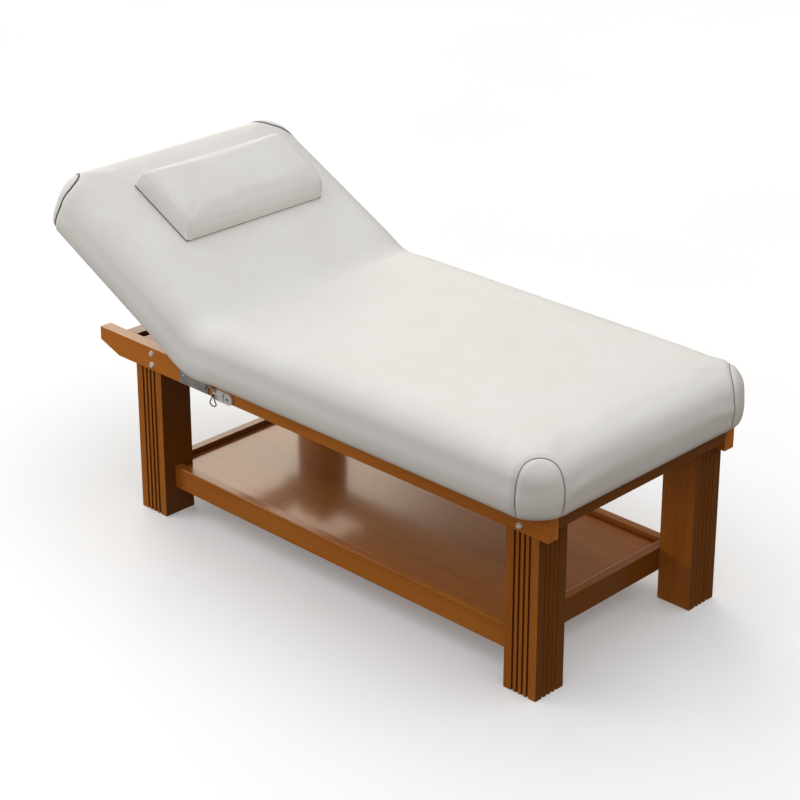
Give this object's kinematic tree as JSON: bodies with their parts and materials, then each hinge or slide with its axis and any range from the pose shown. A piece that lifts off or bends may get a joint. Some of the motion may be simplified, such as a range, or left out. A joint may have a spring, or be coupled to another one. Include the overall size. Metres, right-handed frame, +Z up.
{
  "type": "beauty bed",
  "caption": "Wooden salon bed with grooved square legs, a low tray shelf, thick padding, a tilting back held by side ratchet hinges and a loose head pillow.",
  "frame": {"origin": "on the floor, under the middle of the whole bed as pictured", "axes": "+X towards the foot, -X towards the head, +Z up, -Y is the side nearest the camera"},
  "size_m": [1.7356, 0.8, 0.8966],
  "materials": {
    "stained_wood": "satin lacquer",
    "plywood": "raw",
    "leatherette": "fine grain, semi-matt",
    "zinc_steel": "zinc plated",
    "bright_chrome": "polished",
    "black_wire": "black coated"
  },
  "bodies": {
    "frame": {"foot_leg_near": "stained_wood", "foot_leg_far": "stained_wood", "head_leg_near": "stained_wood", "head_leg_far": "stained_wood", "side_rail_near": "stained_wood", "side_rail_far": "stained_wood", "shelf_stretcher_near": "stained_wood", "shelf_stretcher_far": "stained_wood", "head_cross_rail": "stained_wood", "foot_cross_rail": "stained_wood", "seat_bearer_1": "stained_wood", "seat_bearer_2": "stained_wood", "seat_bearer_3": "stained_wood", "shelf_stretcher_head": "stained_wood", "shelf_stretcher_foot": "stained_wood", "shelf_panel": "stained_wood", "shelf_cleats": "stained_wood", "hinge_plate_near": "zinc_steel", "pivot_pin_near": "zinc_steel", "hinge_screws_near": "zinc_steel", "lever_pins_near": "zinc_steel", "leg_bolts_near": "bright_chrome", "leg_nuts_near": "zinc_steel", "hinge_plate_far": "zinc_steel", "pivot_pin_far": "zinc_steel", "hinge_screws_far": "zinc_steel", "lever_pins_far": "zinc_steel", "leg_bolts_far": "bright_chrome", "leg_nuts_far": "zinc_steel", "seat_board": "plywood", "seat_pad": "leatherette"},
    "back": {"back_board": "plywood", "back_pad": "leatherette", "back_battens": "plywood", "back_arm_screws": "zinc_steel", "swing_arm_near": "zinc_steel", "swing_arm_far": "zinc_steel"},
    "pillow": {"head_pillow": "leatherette"},
    "lever_near": {"lock_lever_near": "bright_chrome", "lock_pawl_near": "zinc_steel"},
    "pull_near": {"wire_pull_near": "black_wire"},
    "lever_far": {"lock_lever_far": "bright_chrome", "lock_pawl_far": "zinc_steel"},
    "pull_far": {"wire_pull_far": "black_wire"}
  },
  "joints": [
    {"name": "back_tilt", "type": "hinge", "parent": "frame", "child": "back", "pos_m": [-0.31716, 0, 0.457], "axis": [0, 1, 0], "range_deg": [-27, 18]},
    {"name": "pillow_lift", "type": "slide", "parent": "back", "child": "pillow", "axis": [0.454, 0, 0.891], "range_m": [0, 0.25]},
    {"name": "lever_lift_near", "type": "hinge", "parent": "frame", "child": "lever_near", "pos_m": [-0.20916, -0.3405, 0.43], "axis": [0, -1, 0], "range_deg": [0, 12], "stiffness_Nm_per_rad": 0.4, "springref_deg": -11.46},
    {"name": "pull_swing_near", "type": "hinge", "parent": "lever_near", "child": "pull_near", "pos_m": [-0.25716, -0.3405, 0.428], "axis": [0, 1, 0], "range_deg": [-70, 70]},
    {"name": "lever_lift_far", "type": "hinge", "parent": "frame", "child": "lever_far", "pos_m": [-0.20916, 0.3405, 0.43], "axis": [0, -1, 0], "range_deg": [0, 12], "stiffness_Nm_per_rad": 0.4, "springref_deg": -11.46},
    {"name": "pull_swing_far", "type": "hinge", "parent": "lever_far", "child": "pull_far", "pos_m": [-0.25716, 0.3405, 0.428], "axis": [0, 1, 0], "range_deg": [-70, 70]}
  ]
}
